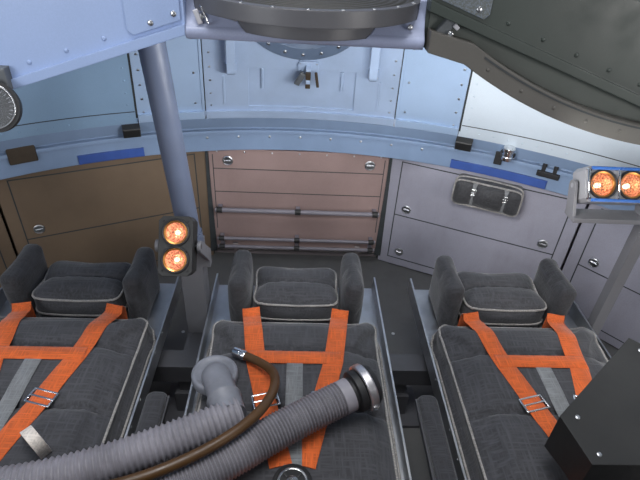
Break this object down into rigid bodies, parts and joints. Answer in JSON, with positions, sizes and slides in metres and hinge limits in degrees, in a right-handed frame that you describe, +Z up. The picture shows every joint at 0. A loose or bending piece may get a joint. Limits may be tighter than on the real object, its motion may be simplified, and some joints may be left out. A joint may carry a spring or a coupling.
{
  "type": "space capsule crew cabin bay",
  "caption": "Cut-away head-end bay of a capsule's crew cabin: conical wall with hatch, lockers, overhead console and couches side by side.",
  "frame": {"origin": "on the capsule's axis, at the underside of the deck", "axes": "+Z up the capsule's axis towards its apex, +Y towards the crew hatch, +X to the right as seen from the couches' feet"},
  "size_m": [3.6598, 3.6598, 1.545],
  "materials": {
    "deck_grey": "satin grey paint",
    "skin_grey": "matt primer",
    "ring_blue": "satin blue-grey paint",
    "wall_blue": "satin light blue paint",
    "dark_metal": "matt black paint",
    "strip_blue": "matt",
    "chrome": "polished",
    "bezel_blue": "satin paint",
    "window": "clear",
    "locker_beige": "matt beige paint",
    "rail_grey": "satin grey paint",
    "bag_black": "coated cloth with piping",
    "console_lilac": "satin paint",
    "drum_grey": "satin paint",
    "cowl_brown": "satin paint",
    "panel_grey": "matt paint",
    "pan_metal": "brushed",
    "pad_grey": "woven cover with pale piping",
    "strap_orange": "woven webbing",
    "lamp_left": "matt black with lit reflectors",
    "lamp_right": "silver-white with lit reflectors",
    "outlet_grey": "satin paint",
    "hose_grey": "corrugated, matt",
    "cable_brown": "satin"
  },
  "bodies": {
    "hatch": {"hatch_door": "wall_blue", "hatch_handles": "bezel_blue", "hatch_latch": "dark_metal", "window_bezel": "bezel_blue", "window_glass": "window"},
    "locker_lid": {"locker_door": "locker_beige", "door_rails": "rail_grey"},
    "lamp_left": {"lamps_left": "lamp_left"},
    "lamp_right": {"lamps_right": "lamp_right"},
    "seat_left": {"seat_pan_left": "pan_metal", "seat_pad_left": "pad_grey"},
    "leg_left": {"leg_pan_left": "pan_metal"},
    "seat_centre": {"seat_pan_centre": "pan_metal", "seat_pad_centre": "pad_grey"},
    "leg_centre": {"leg_pan_centre": "pan_metal"},
    "seat_right": {"seat_pan_right": "pan_metal", "seat_pad_right": "pad_grey"},
    "leg_right": {"leg_pan_right": "pan_metal"},
    "cabin": {"deck": "deck_grey", "couch_rack": "deck_grey", "lamp_post_left": "deck_grey", "lamp_post_right": "deck_grey", "lower_skin": "skin_grey", "girth_ring": "ring_blue", "top_ring": "ring_blue", "wall_left": "wall_blue", "wall_right": "wall_blue", "hatch_surround": "wall_blue", "corner_blocks": "dark_metal", "lap_console": "dark_metal", "ring_strips": "strip_blue", "ring_latch": "chrome", "connector_a": "chrome", "connector_b": "chrome", "cable_plug": "chrome", "locker_box": "locker_beige", "locker_fixed": "locker_beige", "strut": "rail_grey", "stowage_bag": "bag_black", "console_beam": "console_lilac", "console_wing_left": "console_lilac", "console_wing_right": "console_lilac", "cover_plates": "console_lilac", "console_drum": "drum_grey", "console_cowl": "cowl_brown", "console_face": "panel_grey", "back_pans": "pan_metal", "armrests": "pan_metal", "back_pad_left": "pad_grey", "back_pad_centre": "pad_grey", "back_pad_right": "pad_grey", "headrest_left": "pad_grey", "headrest_centre": "pad_grey", "headrest_right": "pad_grey", "arm_pads": "pad_grey", "harness": "strap_orange", "outlet_box": "outlet_grey", "hose_a": "hose_grey", "hose_b": "hose_grey", "cable": "cable_brown"}
  },
  "joints": [
    {"name": "hatch_hinge", "type": "hinge", "parent": "cabin", "child": "hatch", "pos_m": [-0.29296, 1.37533, 1.03992], "axis": [0.088, -0.4133, 0.9063], "range_deg": [0, 110]},
    {"name": "locker_door_hinge", "type": "hinge", "parent": "cabin", "child": "locker_lid", "pos_m": [0, 1.565, 0.119], "axis": [1, 0, 0], "range_deg": [0, 85]},
    {"name": "seat_fold_left", "type": "hinge", "parent": "cabin", "child": "seat_left", "pos_m": [-0.6, 0.11, 0.3], "axis": [1, 0, 0], "range_deg": [0, 90]},
    {"name": "knee_left", "type": "hinge", "parent": "seat_left", "child": "leg_left", "pos_m": [-0.6, 0.1, 0.78], "axis": [1, 0, 0], "range_deg": [-90, 0]},
    {"name": "seat_fold_centre", "type": "hinge", "parent": "cabin", "child": "seat_centre", "pos_m": [0, 0.11, 0.3], "axis": [1, 0, 0], "range_deg": [0, 90]},
    {"name": "knee_centre", "type": "hinge", "parent": "seat_centre", "child": "leg_centre", "pos_m": [0, 0.1, 0.78], "axis": [1, 0, 0], "range_deg": [-90, 0]},
    {"name": "seat_fold_right", "type": "hinge", "parent": "cabin", "child": "seat_right", "pos_m": [0.6, 0.11, 0.3], "axis": [1, 0, 0], "range_deg": [0, 90]},
    {"name": "knee_right", "type": "hinge", "parent": "seat_right", "child": "leg_right", "pos_m": [0.6, 0.1, 0.78], "axis": [1, 0, 0], "range_deg": [-90, 0]},
    {"name": "lamp_tilt_left", "type": "hinge", "parent": "cabin", "child": "lamp_left", "pos_m": [-0.278, 0.83592, 0.62459], "axis": [1, 0, 0], "range_deg": [-20, 25]},
    {"name": "lamp_tilt_right", "type": "hinge", "parent": "cabin", "child": "lamp_right", "pos_m": [0.772, 0.96592, 0.75259], "axis": [1, 0, 0], "range_deg": [-20, 25]}
  ],
  "couplings": [
    {"joint": "knee_left", "follows": "seat_fold_left", "ratio": -1},
    {"joint": "knee_centre", "follows": "seat_fold_centre", "ratio": -1},
    {"joint": "knee_right", "follows": "seat_fold_right", "ratio": -1}
  ]
}
